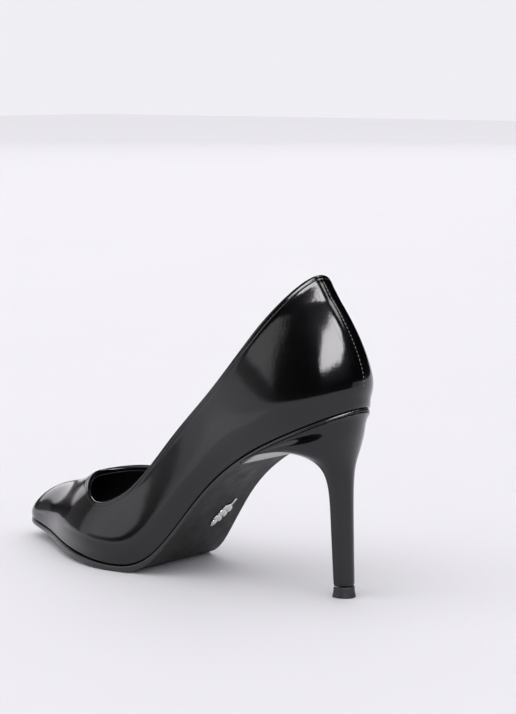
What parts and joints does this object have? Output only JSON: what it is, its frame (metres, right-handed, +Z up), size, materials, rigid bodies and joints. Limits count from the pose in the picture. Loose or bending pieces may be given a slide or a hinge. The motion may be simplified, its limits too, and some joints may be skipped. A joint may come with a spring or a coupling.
{
  "type": "high heel pump",
  "caption": "Left high heel pump: pointed closed toe, low cut topline, slim covered heel, thin full-length sole and a rubber heel tip.",
  "frame": {"origin": "middle of the shoe's footprint, on the floor", "axes": "+X from heel to toe, +Y to the wearer's left (the outer side of this left shoe), +Z up"},
  "size_m": [0.2296, 0.0766, 0.1542],
  "materials": {
    "upper": "high gloss black box leather",
    "quarter_lining": "soft black lining leather",
    "vamp_lining": "soft black lining leather",
    "heel_counter": "plain",
    "toe_puff": "plain",
    "topline_tape": "plain",
    "insole_board": "plain",
    "shank_board": "plain",
    "steel_shank": "plain",
    "shank_rivet_front": "plain",
    "shank_rivet_rear": "plain",
    "forefoot_pad": "plain",
    "heel_pad": "plain",
    "sock_liner": "smooth black sock leather",
    "bottom_filler": "plain",
    "outsole": "matte dark grey-brown",
    "heel_block": "plain",
    "heel_cover": "high gloss black cover leather",
    "heel_dowel": "plain",
    "top_piece": "matt black rubber",
    "top_piece_pin": "plain",
    "heel_screw": "plain",
    "sole_emblem": "polished silver",
    "heel_nail_1": "plain",
    "heel_nail_2": "plain",
    "heel_nail_3": "plain",
    "heel_nail_4": "plain"
  },
  "bodies": {
    "root": {"upper": "upper", "quarter_lining": "quarter_lining", "vamp_lining": "vamp_lining", "heel_counter": "heel_counter", "toe_puff": "toe_puff", "topline_tape": "topline_tape", "insole_board": "insole_board", "shank_board": "shank_board", "steel_shank": "steel_shank", "shank_rivet_front": "shank_rivet_front", "shank_rivet_rear": "shank_rivet_rear", "forefoot_pad": "forefoot_pad", "heel_pad": "heel_pad", "sock_liner": "sock_liner", "bottom_filler": "bottom_filler", "outsole": "outsole", "heel_block": "heel_block", "heel_cover": "heel_cover", "heel_dowel": "heel_dowel", "top_piece": "top_piece", "top_piece_pin": "top_piece_pin", "heel_screw": "heel_screw", "sole_emblem": "sole_emblem", "heel_nail_1": "heel_nail_1", "heel_nail_2": "heel_nail_2", "heel_nail_3": "heel_nail_3", "heel_nail_4": "heel_nail_4"}
  },
  "joints": []
}
